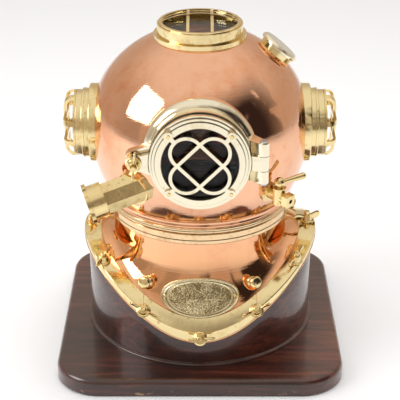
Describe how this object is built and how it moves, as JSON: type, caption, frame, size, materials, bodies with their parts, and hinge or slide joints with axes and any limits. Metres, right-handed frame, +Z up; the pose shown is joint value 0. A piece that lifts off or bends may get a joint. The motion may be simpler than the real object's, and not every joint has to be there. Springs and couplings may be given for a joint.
{
  "type": "diving helmet on stand",
  "caption": "Copper and brass standard-dress diving helmet with hinged round door, guarded windows and valves, lifting off a saddle-topped wooden stand.",
  "frame": {"origin": "middle of the base board's underside", "axes": "the helmet faces -Y, +X is the wearer's left, +Z is up"},
  "size_m": [0.4, 0.39, 0.4825],
  "materials": {
    "copper": "polished copper sheet",
    "brass": "polished cast brass",
    "window_glass": "plate glass",
    "leather": "greased leather",
    "steel": "turned steel",
    "walnut": "polished dark wood"
  },
  "bodies": {
    "stand": {"base_board": "walnut", "plinth": "walnut"},
    "breastplate": {"breastplate_shell": "copper", "strap_front": "brass", "strap_rear": "brass", "strap_right": "brass", "strap_left": "brass", "rim_studs": "brass", "rim_wing_nuts": "brass", "breastplate_neck_ring": "brass", "neck_gasket": "leather", "front_posts": "brass", "oval_plate": "brass", "plate_screws": "brass"},
    "bonnet": {"bonnet_neck_ring": "brass", "catch_pin": "steel", "bonnet_shell": "copper", "door_seat": "brass", "hinge_pin": "steel", "right_window_seat": "brass", "right_window_ring": "brass", "right_window_gasket": "leather", "right_window_glass": "window_glass", "right_window_guard": "brass", "left_window_seat": "brass", "left_window_ring": "brass", "left_window_gasket": "leather", "left_window_glass": "window_glass", "left_window_guard": "brass", "crown_window_seat": "brass", "crown_window_ring": "brass", "crown_window_gasket": "leather", "crown_window_glass": "window_glass", "crown_window_guard": "brass", "telephone_cup": "brass", "telephone_cup_cap": "brass", "exhaust_body": "brass", "spitcock_body": "brass", "air_elbow": "brass", "air_valve": "brass", "air_valve_flap": "leather", "telephone_elbow": "brass", "telephone_nut": "brass", "telephone_plug": "brass"},
    "front_door": {"door_frame": "brass", "door_gasket": "leather", "door_glass_ring": "brass", "door_glass": "window_glass", "door_guard": "brass", "door_guard_screws": "brass"},
    "latch_bolt": {"latch_bolt": "brass", "latch_pin": "steel"},
    "latch_wing_nut": {"latch_wing_nut": "brass"},
    "exhaust_cap": {"exhaust_cap": "brass"},
    "exhaust_disc": {"exhaust_disc": "brass", "exhaust_spring": "steel"},
    "spitcock": {"spitcock_plug": "brass", "spitcock_lever": "brass"},
    "safety_catch": {"safety_catch": "brass"}
  },
  "joints": [
    {"name": "helmet_lift", "type": "slide", "parent": "stand", "child": "breastplate", "axis": [0, 0, 1], "range_m": [0, 0.2]},
    {"name": "bonnet_turn", "type": "hinge", "parent": "breastplate", "child": "bonnet", "pos_m": [0, 0, 0.2148], "axis": [0, 0, 1], "range_deg": [0, 45]},
    {"name": "door_hinge", "type": "hinge", "parent": "bonnet", "child": "front_door", "pos_m": [0.081, -0.1605, 0.335], "axis": [0, 0, 1], "range_deg": [0, 120]},
    {"name": "latch_swing", "type": "hinge", "parent": "front_door", "child": "latch_bolt", "pos_m": [-0.084, -0.146, 0.335], "axis": [0, 0, -1], "range_deg": [0, 100]},
    {"name": "latch_nut_spin", "type": "hinge", "parent": "latch_bolt", "child": "latch_wing_nut", "pos_m": [-0.084, -0.17, 0.335], "axis": [0, -1, 0], "continuous": true},
    {"name": "exhaust_regulate", "type": "hinge", "parent": "bonnet", "child": "exhaust_cap", "pos_m": [-0.08625, -0.11958, 0.281], "axis": [-0.9354, -0.1988, -0.2924], "range_deg": [0, 270]},
    {"name": "exhaust_disc_lift", "type": "slide", "parent": "bonnet", "child": "exhaust_disc", "axis": [-0.9354, -0.1988, -0.2924], "range_m": [0, 0.003], "stiffness_N_per_m": 300, "springref_m": -0.003},
    {"name": "spitcock_turn", "type": "hinge", "parent": "bonnet", "child": "spitcock", "pos_m": [0.10483, -0.12452, 0.27012], "axis": [0, 0, -1], "range_deg": [0, 90]},
    {"name": "catch_swing", "type": "hinge", "parent": "bonnet", "child": "safety_catch", "pos_m": [0, 0.136, 0.2193], "axis": [1, 0, 0], "range_deg": [0, 120]}
  ]
}
